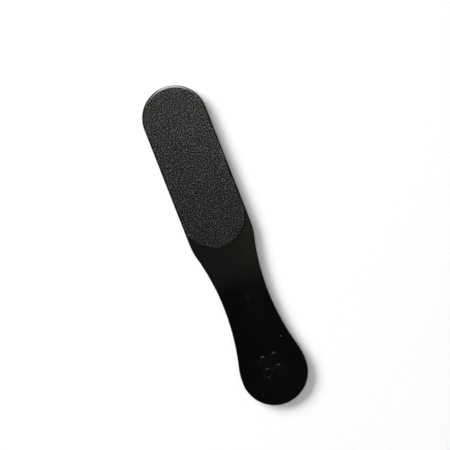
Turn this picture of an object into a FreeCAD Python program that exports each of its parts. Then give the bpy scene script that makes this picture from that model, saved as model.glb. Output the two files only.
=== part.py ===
import FreeCAD, Part
import math
import os
import Sketcher

# A paddle foot file: a flat moulded body with a die-cut abrasive pad bonded to each face of its head.
# +Y runs from the handle to the tip of the head and +Z up through the front face. The origin lies under
# the middle of the file, in the plane that the rear pad rests on.

# Driving dimensions in millimetres
DIMENSIONS = {
    # Outline of the body, from the round end of the head to the round end of the handle
    "head_width": 41.7,
    "head_straight": 78.3,
    "shoulder_radius": 43.4,
    "neck_length": 46.2,
    "waist_inset": 5.75,
    "flare_length": 49.3,
    "bulb_flare": 6.3,
    "bulb_shoulder_radius": 44.6,
    # Section of the body
    "body_thickness": 4.5,
    "edge_round": 0.9,
    # Four low round pips on the handle end, placed from the centre of that end
    "pip_diameter": 5.2,
    "pip_height": 0.3,
    "pip_round": 0.22,
    "pip_gap_across": 2.45,
    "pip_gap_along": 2.9,
    "pip_rise": 4.9,
    # Gate mark, a ring-shaped well round a flush stub, placed from the middle of the waist
    "gate_well_diameter": 3.2,
    "gate_stub_diameter": 1.3,
    "gate_depth": 0.25,
    "gate_offset": 1.9,
    "gate_rise": 1.9,
    # Abrasive pads, cut to follow the head
    "pad_side_margin": 0.9,
    "pad_end_margin": 1.65,
    "pad_shoulder_gap": 10.5,
    "adhesive_thickness": 0.15,
    "adhesive_inset": 0.3,
    "backing_thickness": 0.35,
    "front_grit_thickness": 0.5,
    "rear_grit_thickness": 0.4,
    "grit_inset": 0.12,
}

# Points that are nearer than this count as one place when edges are picked
SAME_PLACE = 0.0001

# Most of a wall's height that a rounded edge may take up
ROUND_SHARE = 0.9

# Lengths that follow from the driving dimensions
HEAD_RADIUS = "Dimensions.head_width / 2"
BULB_RADIUS = "Dimensions.head_width / 2 - Dimensions.waist_inset + Dimensions.bulb_flare"
TO_WAIST = "Dimensions.head_straight + Dimensions.neck_length"
TO_BULB = f"{TO_WAIST} + Dimensions.flare_length"
HEAD_CENTRE = f"({TO_BULB} + {BULB_RADIUS} - {HEAD_RADIUS}) / 2"
EDGE_ROUND = f"min(Dimensions.edge_round; {ROUND_SHARE} * Dimensions.body_thickness / 2)"
PIP_ROUND = f"min(Dimensions.pip_round; {ROUND_SHARE} * Dimensions.pip_height)"
PAD_RADIUS = f"{HEAD_RADIUS} - Dimensions.pad_side_margin"
PAD_TOP = "Dimensions.pad_side_margin - Dimensions.pad_end_margin"
PAD_BOTTOM = "Dimensions.pad_shoulder_gap - Dimensions.head_straight"

# Sketcher's own numbers for the points of a curve, and for the sketch's axis and origin
START, END, CENTRE = range(1, 4)
AXIS_Y, ORIGIN = range(-2, 0)


def make_sheet(doc):
    sheet = doc.addObject("Spreadsheet::Sheet", "Dimensions")
    for row, (alias, value) in enumerate(DIMENSIONS.items(), start=1):
        sheet.set(f"A{row}", alias)
        sheet.set(f"B{row}", str(value))
        sheet.setAlias(f"B{row}", alias)
    doc.recompute()
    return sheet


def origin_plane(body, role):
    return next(plane for plane in body.Origin.OriginFeatures if plane.Role == role)


def make_body(doc, label, height):
    """Adds a body with its origin at the centre of the head's round end, at a height above the rest plane."""
    body = doc.addObject("PartDesign::Body", label)
    body.Label = label
    body.setExpression("Placement.Base.y", HEAD_CENTRE)
    body.setExpression("Placement.Base.z", height)
    return body


def make_sketch(body, name, height=None):
    sketch = body.newObject("Sketcher::SketchObject", name)
    sketch.AttachmentSupport = [(origin_plane(body, "XY_Plane"), "")]
    sketch.MapMode = "FlatFace"
    if height:
        sketch.setExpression("AttachmentOffset.Base.z", height)
    return sketch


def make_pad(body, name, sketch, length):
    pad = body.newObject("PartDesign::Pad", name)
    pad.Profile = sketch
    pad.setExpression("Length", length)
    return pad


def make_fillet(body, name, base, edges, radius):
    fillet = body.newObject("PartDesign::Fillet", name)
    fillet.Base = (base, edges)
    fillet.setExpression("Radius", radius)
    return fillet


def arc(x, y, radius, start, end):
    """An arc about (x, y) that runs anticlockwise between two angles in radians."""
    circle = Part.Circle(FreeCAD.Vector(x, y), FreeCAD.Vector(0, 0, 1), radius)
    return Part.ArcOfCircle(circle, start, end)


def line(start_x, start_y, end_x, end_y):
    return Part.LineSegment(FreeCAD.Vector(start_x, start_y), FreeCAD.Vector(end_x, end_y))


def bind(sketch, name, expression, *constraint):
    """Adds a dimension to a sketch under a name and ties it to an expression."""
    index = sketch.addConstraint(Sketcher.Constraint(*constraint))
    sketch.renameConstraint(index, name)
    sketch.setExpression(f"Constraints.{name}", expression)


def relate(sketch, *constraint):
    sketch.addConstraint(Sketcher.Constraint(*constraint))


def level_edges(shape, height):
    """Names the edges of a shape that lie flat at a height."""
    names = []
    for number, edge in enumerate(shape.Edges, start=1):
        box = edge.BoundBox
        if max(abs(box.ZMin - height), abs(box.ZMax - height)) < SAME_PLACE:
            names.append(f"Edge{number}")
    return names


def s_curve(run, inset, convex_radius):
    """The turn and the concave radius of two arcs that meet in a smooth S over a run and an inset."""
    turn = 2 * math.atan2(inset, run)
    return turn, run / math.sin(turn) - convex_radius


def draw_half_outline(sketch, size):
    """Draws the body's right half from the centre of the head's end: two round ends and two S-curves."""
    head = size("head_width") / 2
    waist = head - size("waist_inset")
    bulb = waist + size("bulb_flare")
    shoulder_y = -size("head_straight")
    waist_y = shoulder_y - size("neck_length")
    bulb_y = waist_y - size("flare_length")
    shoulder_radius = size("shoulder_radius")
    crest_radius = size("bulb_shoulder_radius")
    neck_turn, neck_radius = s_curve(size("neck_length"), size("waist_inset"), shoulder_radius)
    flare_turn, flare_radius = s_curve(size("flare_length"), size("bulb_flare"), crest_radius)
    right, up, left, down = 0, math.pi / 2, math.pi, -math.pi / 2

    head_end = sketch.addGeometry(arc(0, 0, head, right, up))
    side = sketch.addGeometry(line(head, 0, head, shoulder_y))
    shoulder = sketch.addGeometry(
        arc(head - shoulder_radius, shoulder_y, shoulder_radius, -neck_turn, right)
    )
    neck = sketch.addGeometry(arc(waist + neck_radius, waist_y, neck_radius, left - neck_turn, left))
    flare = sketch.addGeometry(arc(waist + flare_radius, waist_y, flare_radius, left, left + flare_turn))
    bulb_shoulder = sketch.addGeometry(arc(bulb - crest_radius, bulb_y, crest_radius, right, flare_turn))
    bulb_end = sketch.addGeometry(arc(0, bulb_y, bulb, down, right))
    middle = sketch.addGeometry(line(0, bulb_y - bulb, 0, head))

    relate(sketch, "Tangent", head_end, START, side, START)
    relate(sketch, "Tangent", side, END, shoulder, END)
    relate(sketch, "Tangent", shoulder, START, neck, START)
    relate(sketch, "Tangent", neck, END, flare, START)
    relate(sketch, "Tangent", flare, END, bulb_shoulder, END)
    relate(sketch, "Tangent", bulb_shoulder, START, bulb_end, END)
    relate(sketch, "Coincident", bulb_end, START, middle, START)
    relate(sketch, "Coincident", middle, END, head_end, END)
    relate(sketch, "Coincident", head_end, CENTRE, ORIGIN, START)
    relate(sketch, "PointOnObject", bulb_end, CENTRE, AXIS_Y)
    relate(sketch, "PointOnObject", middle, START, AXIS_Y)
    relate(sketch, "PointOnObject", middle, END, AXIS_Y)
    relate(sketch, "Vertical", side)
    relate(sketch, "Horizontal", neck, CENTRE, neck, END)
    relate(sketch, "Horizontal", bulb_end, CENTRE, bulb_end, END)

    def bind_drop(name, alias, low, high_point, high):
        bind(sketch, name, f"Dimensions.{alias}", "DistanceY", low, END, high, high_point, size(alias))

    def bind_width(name, alias, inner, outer):
        bind(sketch, name, f"Dimensions.{alias}", "DistanceX", inner, END, outer, END, size(alias))

    bind(sketch, "HeadRadius", HEAD_RADIUS, "Radius", head_end, head)
    bind(sketch, "ShoulderRadius", "Dimensions.shoulder_radius", "Radius", shoulder, shoulder_radius)
    bind(sketch, "BulbRadius", "Dimensions.bulb_shoulder_radius", "Radius", bulb_shoulder, crest_radius)
    bind_drop("HeadStraight", "head_straight", side, START, head_end)
    bind_drop("NeckLength", "neck_length", neck, END, side)
    bind_drop("FlareLength", "flare_length", bulb_end, END, neck)
    bind_width("WaistInset", "waist_inset", neck, side)
    bind_width("BulbFlare", "bulb_flare", neck, bulb_end)


def draw_circle(sketch, name, diameter, across, along, start):
    """Draws a bound circle whose centre is placed from the sketch's origin by two expressions."""
    x, y, width = start
    circle = sketch.addGeometry(
        Part.Circle(FreeCAD.Vector(x, y), FreeCAD.Vector(0, 0, 1), width / 2)
    )
    bind(sketch, f"{name}Diameter", diameter, "Diameter", circle, width)
    bind(sketch, f"{name}Across", across, "DistanceX", ORIGIN, START, circle, CENTRE, x)
    bind(sketch, f"{name}Along", along, "DistanceY", ORIGIN, START, circle, CENTRE, y)


def draw_pips(sketch, size):
    """Draws the four pips in two rows of two across the handle end."""
    diameter = size("pip_diameter")
    middle = size("pip_rise") - size("head_straight") - size("neck_length") - size("flare_length")
    for row, row_name in ((-1, "Low"), (1, "High")):
        for column, column_name in ((-1, "Left"), (1, "Right")):
            x = column * (diameter + size("pip_gap_across")) / 2
            y = middle + row * (diameter + size("pip_gap_along")) / 2
            draw_circle(
                sketch,
                f"Pip{row_name}{column_name}",
                "Dimensions.pip_diameter",
                f"{column} * (Dimensions.pip_diameter + Dimensions.pip_gap_across) / 2",
                f"Dimensions.pip_rise - ({TO_BULB})"
                f" + {row} * (Dimensions.pip_diameter + Dimensions.pip_gap_along) / 2",
                (x, y, diameter),
            )


def draw_gate(sketch, size):
    """Draws the gate mark as two circles about one centre, which leave the stub standing in its well."""
    y = size("gate_rise") - size("head_straight") - size("neck_length")
    for name, diameter in (("Well", "gate_well_diameter"), ("Stub", "gate_stub_diameter")):
        draw_circle(
            sketch,
            name,
            f"Dimensions.{diameter}",
            "Dimensions.gate_offset",
            f"Dimensions.gate_rise - ({TO_WAIST})",
            (size("gate_offset"), y, size(diameter)),
        )


def make_file_body(doc, size, label, height):
    """The moulded body: a mirrored half outline with rounded edges, the four pips and the gate mark."""
    thickness = "Dimensions.body_thickness"
    body = make_body(doc, label, height)
    outline = make_sketch(body, "HalfOutline")
    draw_half_outline(outline, size)
    half = make_pad(body, "Half", outline, thickness)
    doc.recompute()

    whole = body.newObject("PartDesign::Mirrored", "Whole")
    whole.Originals = [half]
    whole.MirrorPlane = (origin_plane(body, "YZ_Plane"), [""])
    whole.Refine = True
    body.Tip = whole
    doc.recompute()

    rims = level_edges(whole.Shape, 0) + level_edges(whole.Shape, size("body_thickness"))
    rounded = make_fillet(body, "RoundedEdges", whole, rims, EDGE_ROUND)
    doc.recompute()

    pip_sketch = make_sketch(body, "PipCircles", thickness)
    draw_pips(pip_sketch, size)
    pips = make_pad(body, "Pips", pip_sketch, "Dimensions.pip_height")
    doc.recompute()
    crowns = level_edges(pips.Shape, size("body_thickness") + size("pip_height"))
    crowned = make_fillet(body, "PipCrowns", pips, crowns, PIP_ROUND)
    doc.recompute()

    gate_sketch = make_sketch(body, "GateCircles", thickness)
    draw_gate(gate_sketch, size)
    gate = body.newObject("PartDesign::Pocket", "GateWell")
    gate.Profile = gate_sketch
    gate.setExpression("Length", "Dimensions.gate_depth")
    doc.recompute()
    for larger, smaller in ((whole, rounded), (pips, crowned), (crowned, gate), (pips, rounded)):
        if larger.Shape.Volume <= smaller.Shape.Volume:
            raise RuntimeError(f"{label}: {smaller.Name} should have less volume than {larger.Name}")
    return body


def make_layer(doc, size, label, height, thickness, inset):
    """One layer of a pad: a round-ended sheet, drawn in from the pad's own edge by an inset."""
    body = make_body(doc, label, height)
    sketch = make_sketch(body, f"{label}_outline")
    radius = size("head_width") / 2 - size("pad_side_margin")
    top = size("pad_side_margin") - size("pad_end_margin")
    bottom = size("pad_shoulder_gap") - size("head_straight")
    edge = PAD_RADIUS
    if inset:
        radius -= size(inset)
        edge = f"{PAD_RADIUS} - Dimensions.{inset}"

    tip = sketch.addGeometry(arc(0, top, radius, 0, math.pi))
    left = sketch.addGeometry(line(-radius, top, -radius, bottom))
    heel = sketch.addGeometry(arc(0, bottom, radius, math.pi, 2 * math.pi))
    right = sketch.addGeometry(line(radius, bottom, radius, top))
    relate(sketch, "Tangent", tip, END, left, START)
    relate(sketch, "Tangent", left, END, heel, START)
    relate(sketch, "Tangent", heel, END, right, START)
    relate(sketch, "Tangent", right, END, tip, START)
    relate(sketch, "Equal", tip, heel)
    relate(sketch, "PointOnObject", tip, CENTRE, AXIS_Y)
    relate(sketch, "PointOnObject", heel, CENTRE, AXIS_Y)
    bind(sketch, "EndRadius", edge, "Radius", tip, radius)
    bind(sketch, "TipCentre", PAD_TOP, "DistanceY", ORIGIN, START, tip, CENTRE, top)
    bind(sketch, "HeelCentre", PAD_BOTTOM, "DistanceY", ORIGIN, START, heel, CENTRE, bottom)
    make_pad(body, f"{label}_sheet", sketch, f"Dimensions.{thickness}")
    return body


def make_stack(doc, size):
    """Stacks the pieces from the rest plane up: rear pad, body, front pad."""
    layers = [
        ("rear_grit", "rear_grit_thickness", "grit_inset"),
        ("rear_backing", "backing_thickness", None),
        ("rear_adhesive", "adhesive_thickness", "adhesive_inset"),
        ("file_body", "body_thickness", None),
        ("front_adhesive", "adhesive_thickness", "adhesive_inset"),
        ("front_backing", "backing_thickness", None),
        ("front_grit", "front_grit_thickness", "grit_inset"),
    ]
    pieces = []
    height = "0"
    for label, thickness, inset in layers:
        if label == "file_body":
            pieces.append(make_file_body(doc, size, label, height))
        else:
            pieces.append(make_layer(doc, size, label, height, thickness, inset))
        height = f"{height} + Dimensions.{thickness}"
    return pieces


def check(doc, pieces):
    for thing in doc.Objects:
        if {"Invalid", "Error"} & set(thing.State):
            raise RuntimeError(f"{thing.Label} failed: {thing.State}")
    for piece in pieces:
        shape = piece.Shape
        if shape.isNull() or not shape.isValid() or len(shape.Solids) != 1:
            raise RuntimeError(f"{piece.Label} is not one valid solid")


def main():
    doc = FreeCAD.newDocument("FootFile")
    sheet = make_sheet(doc)
    pieces = make_stack(doc, sheet.get)
    doc.recompute()
    check(doc, pieces)
    os.makedirs("parts", exist_ok=True)
    for piece in pieces:
        piece.Shape.exportStep(f"parts/{piece.Label}.step")
        box = piece.Shape.BoundBox
        print(f"{piece.Label}: {piece.Shape.Volume:.1f} mm3, y {box.YMin:.2f} to {box.YMax:.2f},"
              f" z {box.ZMin:.2f} to {box.ZMax:.2f}")


main()
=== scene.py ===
import math

import bmesh
import bpy
import numpy as np
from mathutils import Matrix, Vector
from mathutils.geometry import delaunay_2d_cdt
from mathutils.kdtree import KDTree


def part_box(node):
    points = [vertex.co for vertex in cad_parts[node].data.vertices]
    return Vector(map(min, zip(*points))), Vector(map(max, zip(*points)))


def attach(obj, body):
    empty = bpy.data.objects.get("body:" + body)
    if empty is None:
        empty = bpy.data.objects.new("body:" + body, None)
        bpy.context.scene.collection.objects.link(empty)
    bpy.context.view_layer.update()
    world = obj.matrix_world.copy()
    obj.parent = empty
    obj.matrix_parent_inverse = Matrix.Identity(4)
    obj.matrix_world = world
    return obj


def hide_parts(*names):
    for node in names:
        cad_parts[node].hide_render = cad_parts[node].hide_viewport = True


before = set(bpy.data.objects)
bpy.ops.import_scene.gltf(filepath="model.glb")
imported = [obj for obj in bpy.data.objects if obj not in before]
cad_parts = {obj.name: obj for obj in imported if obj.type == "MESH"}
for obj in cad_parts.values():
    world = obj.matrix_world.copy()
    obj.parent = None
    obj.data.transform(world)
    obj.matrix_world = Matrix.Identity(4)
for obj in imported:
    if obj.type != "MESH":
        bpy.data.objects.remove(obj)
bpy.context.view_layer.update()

# A paddle foot file of black moulded plastic with a coarse pad on its front and a finer one on its back.
# All sizes are in metres, in the frame's own axes: +Y from the handle to the tip, +Z out of the front pad.

MM = 0.001
WHITE = (1.0, 1.0, 1.0)

# Places taken from the frame
BODY_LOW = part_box("file_body")[0]
BODY_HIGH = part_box("file_body")[1]
FACE_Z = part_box("front_adhesive")[0].z
BACK_Z = BODY_LOW.z
MIDDLE_Z = (FACE_Z + BACK_Z) / 2

# Outline of the body, as in its solid
HEAD_RADIUS = 20.85 * MM
HEAD_STRAIGHT = 78.3 * MM
SHOULDER_RADIUS = 43.4 * MM
NECK_LENGTH = 46.2 * MM
WAIST_INSET = 5.75 * MM
FLARE_LENGTH = 49.3 * MM
BULB_FLARE = 6.3 * MM
CREST_RADIUS = 44.6 * MM
EDGE_ROUND = 0.9 * MM
HEAD_Y = BODY_HIGH.y - HEAD_RADIUS
SHOULDER_Y = HEAD_Y - HEAD_STRAIGHT
WAIST_Y = SHOULDER_Y - NECK_LENGTH
BULB_Y = WAIST_Y - FLARE_LENGTH
WAIST_HALF = HEAD_RADIUS - WAIST_INSET
BULB_RADIUS = WAIST_HALF + BULB_FLARE

# What the scene adds to the solid: a slight swell, a margin inside the edge, a softer tip, a parting ridge
OUTLINE_STEP = 0.7 * MM
SIDE_SWELL = 0.1 * MM
EDGE_STEPS = 8
EDGE_MARGIN = 0.3 * MM
EDGE_WEAR = 1.0
SIDE_WEAR = 0.3
TIP_EASE = 0.65
PARTING_RIDGE = 0.05 * MM
PARTING_HEIGHT = 0.16 * MM
SHARP_ANGLE = math.radians(40)

# The faint unevenness of its faces: radians to the metre along X and along Y, and a phase
FACE_STEP = 2.4 * MM
FACE_WAVE = 0.012 * MM
FACE_WAVES = ((83, 41, 0.7), (-57, 67, 2.1), (-101, 149, 4.0))

# Marks on the front face: four pips, a gate mark, a speck and a tick
MARK_SIDES = 48
MARK_CENTRE_WEAR = 0.2
MOUND_MARGIN_SHARE = 1.15
MOUND_SHARES = (1.0, 0.85, 0.65, 0.4, 0.2, 0.0)
PIP_RADIUS = 2.6 * MM
PIP_HEIGHT = 0.3 * MM
PIP_ROUND = 0.18 * MM
PIP_STEPS = 5
PIP_PITCH = (7.65 * MM, 8.1 * MM)
PIP_RISE = 5.2 * MM
PIP_WEAR = 2.6
GATE_RADIUS = 1.6 * MM
GATE_STUB = 0.65 * MM
GATE_DEPTH = 0.45 * MM
GATE_LIP = 0.02 * MM
GATE_CROWN = 0.108 * MM
GATE_CROWN_SHARES = ((0.85, 0.72), (0.6, 0.36), (0.3, 0.09))
GATE_PLACE = (1.64 * MM, 1.25 * MM)
GATE_WEAR = 0.6
SPECK_PLACE = (12.1 * MM, -67.3 * MM)
SPECK_RADIUS = 0.58 * MM
SPECK_STRETCH = 1.25
SPECK_TURN = math.radians(20)
SPECK_HEIGHT = 0.27 * MM
SPECK_WEAR = 0.6
TICK_PLACE = (-4.25 * MM, -88.45 * MM)
TICK_RADIUS = 0.85 * MM
TICK_STRETCH = 0.36
TICK_HEIGHT = 0.26 * MM
TICK_WEAR = 2.6

# Worn places on a pad's edge: place, half length, depth, and how pale the paper is there and further in. On
# the front pad's right side some of them bare pale paper as painted highlights.
FRONT_CHIPS_AND_HIGHLIGHTS = (
    # Painted highlights: a chip whose white paper is a painted glint, two fainter ones beside it, and two long
    # shallow stretches of pale paper as a painted lit line along the edge
    (19.8 * MM, 55.9 * MM, 0.5 * MM, 0.85 * MM, 1.0, 1.0),
    (19.9 * MM, 58.0 * MM, 0.5 * MM, 0.3 * MM, 0.75, 0.75),
    (19.9 * MM, 53.8 * MM, 0.5 * MM, 0.25 * MM, 0.7, 0.7),
    (19.9 * MM, 66.0 * MM, 8.0 * MM, 0.11 * MM, 0.34, 0.34),
    (19.9 * MM, 80.0 * MM, 7.0 * MM, 0.11 * MM, 0.34, 0.34),
    (2.9 * MM, -0.2 * MM, 1.3 * MM, 1.35 * MM, 0.1, 0.38),
    (-19.6 * MM, 14.6 * MM, 0.9 * MM, 0.3 * MM, 0.7, 0.7),
    (-19.0 * MM, 12.6 * MM, 0.7 * MM, 0.14 * MM, 0.4, 0.4),
    (-19.9 * MM, 40.0 * MM, 0.7 * MM, 0.2 * MM, 0.3, 0.3),
)
REAR_CHIPS = (
    (-19.8 * MM, 70.0 * MM, 0.7 * MM, 0.5 * MM, 0.8, 0.8),
    (12.0 * MM, 104.0 * MM, 1.4 * MM, 0.35 * MM, 0.5, 0.5),
    (7.0 * MM, 0.5 * MM, 1.2 * MM, 0.5 * MM, 0.3, 0.3),
)
CHIP_FLAT = 1.15
CHIP_SHARES = (0.7, 0.6)

# How far the coat stops short of the paper round a pad's foot: direction in degrees, then millimetres. The
# near-black paper bared there is a painted shadow line along the foot.
FOOT_SHADOW_LEDGE = (
    (-165, 0.0),
    (-145, 0.5),
    (-114, 0.5),
    (-109, 0.0),
    (-91, 0.0),
    (-86, 0.8),
    (-25, 0.3),
    (-15, 0.0),
)
LEDGE_SHARES = (0.8, 0.4)

# Edges of a pad; a run is the number of its points from one knot of a random line to the next
SIDE_OUTSET = 0.1 * MM
COAT_EDGE_STEP = 0.24 * MM
COAT_RAGGED = 0.10 * MM
COAT_RUN = 3
LEDGE_RUN = 4
EDGE_ZONE = 3 * MM
PAPER_EDGE_STEP = 0.3 * MM
PAPER_LEVEL_SHARES = (0.0, 0.35, 0.7, 1.0)
PAPER_RAGGED = 0.035 * MM
PAPER_MIDDLE = 0.6
PAPER_RUN = 2
BARE_REACH = 1.15
BARE_DEPTH = 1.2 * MM
BARE_SHARES = (0.55, 0.45)
BARE_RUN = 4

# Grains of a coat across its plane, as shares of their spacing where they are lengths
CLUMP_JITTER = 0.3
CLUMP_CONTRAST = 1.5
APART_PASSES = 2
GRAIN_JITTER = 0.46
GRAIN_THINNING = 0.06
GRAIN_CLEARANCE = 0.45
GRAIN_TONE_SPREAD = 0.06
PIT_SHARE = 0.012
CELL_SPAN = 2.2
VALLEY_JITTER = 0.05
TIP_TURN_SPREAD = 0.3
TIP_REACH = (0.10, 0.26)
SINGLE_TIP_REACH = 0.5

# Heights of a coat, as shares of its thickness or of its grains' height
GRAIN_SIZE_CURVE = (2.2, 2.0)
GRAIN_SIZE_OWN = 0.45
GRAIN_SIZE_FROM_TONE = 0.55
TIP_SHARES = (0.15, 0.85)
TIP_TRIM = (0.75, 1.0)
VALLEY_SHARES = (0.6, 0.8)
VALLEY_TRIM = (0.55, 1.0)
RIM_SHARE = 0.42
RIM_TRIM = (0.6, 1.0)

# Tones of a coat's facets from 0 to 1, and how far they are evened out over a neighbourhood
RESIN_TONE = 0.1
RESIN_SHINE = 0.2
CLOSING_LOOK = 0.1
FACET_TONE_SPREAD = 0.03
TONE_CURVE = 4.8
SHINE_CURVE = 3
EVEN_PASSES = 2
EVEN_CELL = 0.64 * MM
EVEN_SHARE = 0.58

# The two coats, and the seeds of the two papers
COARSE_COAT = dict(seed=11, spacing=0.42 * MM, clump=0.78 * MM, resin_share=0.2, chips=FRONT_CHIPS_AND_HIGHLIGHTS)
FINE_COAT = dict(seed=12, spacing=0.42 * MM, clump=0.8 * MM, resin_share=0.4, chips=REAR_CHIPS)
COARSE_PAPER_SEED = 3
FINE_PAPER_SEED = 4

# The map that a coat's looks are baked through: where its top, its rim and its base lie across it
BAKE_MAP = "OFBake"
BAKE_TOP_SHARE = 0.95
BAKE_RIM = (0.957, 0.963)
BAKE_BASE = (0.97, 1.0)

# The range that most values of a noise lie in
NOISE_RANGE = (0.3, 0.7)

# Black plastic: smudges, moulded skin, scratches, roughness and tones
SMUDGE_SIZE = 26 * MM
SMUDGE_RANGE = (0.35, 0.7)
SKIN_SIZE = 0.35 * MM
SKIN_STRENGTH = 0.12
SKIN_DEPTH = 0.01 * MM
SCRATCH_WIDTH = 0.22 * MM
SCRATCH_STRETCH = 90
SCRATCH_TURNS = (0.35, 1.25, 2.3)
SCRATCH_RANGE = (0.70, 0.76)
SCRATCH_PATCH = 17 * MM
SCRATCH_PATCH_RANGE = (0.5, 0.62)
SCRATCH_STRENGTH = 0.05
SCRATCH_DEPTH = 0.003 * MM
SCRATCH_DULLING = 0.03
SCRATCH_PALING = 0.15
SCRATCH_TONE = (0.012, 0.012, 0.012, 1)
EDGE_DULLING = 0.05
PLASTIC_ROUGHNESS = (0.09, 0.13)
PLASTIC_TONES = ((0.0014, 0.0015, 0.0014), (0.0022, 0.0023, 0.0022))
PLASTIC_IOR = 1.5

# Grit: tones of its darkest and brightest grains, and a painted light falloff: how much lighter its colour is
# painted towards the tip and darker towards the heel
COARSE_TONES = dict(dark=(0.001, 0.001, 0.001), bright=(0.159, 0.159, 0.149), tip_painted_light=1.40, heel_painted_light=0.66)
FINE_TONES = dict(dark=(0.006, 0.006, 0.0057), bright=(0.100, 0.100, 0.094), tip_painted_light=1.05, heel_painted_light=0.95)
PAINTED_LIGHT_DIRECTION = (0.5, 1.0, 0.0)
PAINTED_LIGHT_CURVE = 1.25
MOTTLE_SIZE = 5 * MM
MOTTLE_TONES = (0.96, 1.04)
GRIT_ROUGHNESS = (0.62, 0.3)
GLASSY_RANGE = (0.5, 1)
GRIT_SPECULAR = (0.03, 0.45)
FRACTURE_SIZE = 0.06 * MM
FRACTURE_STRENGTH = 0.35
FRACTURE_DEPTH = 0.01 * MM

# Backing paper: fibres, roughness, and tones where it is whole and where it is torn. The whole tone also
# paints the shadow line round a pad's foot, and the pale torn tone also paints the highlights on the front
# pad's right edge.
FIBRE_SIZE = 0.12 * MM
FIBRE_STRETCH = 5
FIBRE_TURN = 0.6
FIBRE_STRENGTH = 0.5
FIBRE_DEPTH = 0.02 * MM
CLOUD_SIZE = 3 * MM
PAPER_TONES = ((0.0006, 0.0006, 0.0006), (0.0016, 0.0016, 0.0015))
PAPER_ROUGHNESS = (0.8, 0.95)
PAPER_SPECULAR = 0.05
TORN_AND_HIGHLIGHT_STOPS = ((0.0, (0.004, 0.004, 0.004)), (0.3, (0.03, 0.024, 0.016)), (1.0, (0.62, 0.61, 0.58)))
TORN_AND_HIGHLIGHT_RANGE = (0.02, 0.2)
TORN_FIBRE_RANGE = (0.35, 0.65)
TORN_FIBRE_SHARE = 0.35
TORN_FIBRE_TONE = (0.02, 0.018, 0.015, 1)

# Adhesive film: trapped bubbles, streaks and tones
BUBBLE_SPACING = 0.9 * MM
BUBBLE_RANGE = (0.1, 0.22)
BUBBLE_STRENGTH = 0.3
BUBBLE_DEPTH = 0.02 * MM
BUBBLE_TONE = (0.42, 0.36, 0.25, 1)
FILM_STREAK = 1.5 * MM
FILM_STRETCH = 6
FILM_TURN = 1.57
FILM_TONES = ((0.16, 0.11, 0.05), (0.30, 0.22, 0.11))
FILM_ROUGHNESS = (0.25, 0.45)

# Floor: white paper that glows further off
FLOOR_HALF = 4.0
FLOOR_TOOTH = 0.8 * MM
FLOOR_TONES = ((0.88, 0.88, 0.88), (0.9, 0.9, 0.9))
FLOOR_ROUGHNESS = 0.9
FLOOR_SPECULAR = 0.1
FLOOR_GLOW_REACH = (0.35, 1.6)
FLOOR_GLOW = 0.95

# Places in the photograph's 450 by 450 frame, and the real length of one of its pixels
FRAME_PIXELS = 450
PIXEL = 0.6377 * MM
OBJECT_PIXEL = (224.26, 244.75)
FRAME_CENTRE_PIXEL = (224.5, 224.5)
CAMERA_ROLL = math.radians(-21.417)
CAMERA_LENS = 90.0
CAMERA_SENSOR = 36.0
CAMERA_CLIP = (0.01, 20.0)

# Light: the two soft boxes, the panels that are seen in the plastic, and the room round them
LIGHT_DISTANCE = 4.5
KEY_SIDE = (-0.870, 0.493)
KEY_ELEVATION = math.radians(31)
KEY_SIZE = (3.15, 1.8)
KEY_POWER = 307.0
TOP_ELEVATION = math.radians(86)
TOP_SIZE = (2.7, 2.7)
TOP_POWER = 76.0
TIP_PANEL_PLACE = (0.067, 0.485, 0.326)
TIP_PANEL_SIZE = (0.26, 0.82)
TIP_PANEL_POWER = 8.6
NECK_CARD_PLACE = (-0.008, 0.05, 0.7)
NECK_CARD_SIZE = (0.16, 0.215)
NECK_CARD_POWER = 0.0144
NECK_CARD_TINT = (1.0, 0.99, 0.78)
WARM_CARD_PLACE = (0.071, 0.057, 0.69)
WARM_CARD_SIZE = (0.11, 0.225)
WARM_CARD_POWER = 0.0140
WARM_CARD_TINT = (1.0, 0.93, 0.59)
FILL_TONE = (0.1, 0.1, 0.1, 1)
ROOM_STOPS = ((0.0, (0.1, 0.1, 0.1)), (0.4, (0.04, 0.04, 0.04)), (0.8, (0.012, 0.013, 0.013)))
BACKGROUND_TONE = (0.96, 0.96, 0.96, 1)


# Shader helpers

def add(tree, kind, inputs=None, **settings):
    """Adds a node; an input given as a socket is linked, and any other is set."""
    made = tree.nodes.new(kind)
    for key, value in settings.items():
        setattr(made, key, value)
    for key, value in (inputs or {}).items():
        if isinstance(value, bpy.types.NodeSocket):
            tree.links.new(value, made.inputs[key])
        else:
            made.inputs[key].default_value = value
    return made


def new_material(name):
    material = bpy.data.materials.new(name)
    material.use_nodes = True
    tree = material.node_tree
    return material, tree, tree.nodes["Principled BSDF"]


def coordinates(tree):
    return add(tree, "ShaderNodeTexCoord").outputs["Object"]


def noise(tree, where, size, detail=2.0, stretch=None, turn=0.0):
    """A noise with features of about the given size, drawn out along X by a stretch if one is given."""
    if stretch:
        where = add(tree, "ShaderNodeMapping", {
            "Vector": where,
            "Rotation": (0, 0, turn),
            "Scale": (1 / stretch, 1, 1),
        }).outputs["Vector"]
    made = add(tree, "ShaderNodeTexNoise", {
        "Vector": where,
        "Scale": 1 / size,
        "Detail": detail,
    })
    return made.outputs["Fac"]


def spread(tree, value, source, target, smooth=False):
    """Maps a value from one range to another and keeps it inside."""
    made = add(tree, "ShaderNodeMapRange", {
        "Value": value,
        "From Min": source[0],
        "From Max": source[1],
        "To Min": target[0],
        "To Max": target[1],
    }, interpolation_type="SMOOTHSTEP" if smooth else "LINEAR")
    return made.outputs["Result"]


def math_node(tree, operation, first, second):
    return add(tree, "ShaderNodeMath", {0: first, 1: second}, operation=operation).outputs[0]


def mix(tree, factor, first, second, blend="MIX"):
    made = add(tree, "ShaderNodeMix", {0: factor, 6: first, 7: second}, data_type="RGBA", blend_type=blend)
    return made.outputs[2]


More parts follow.
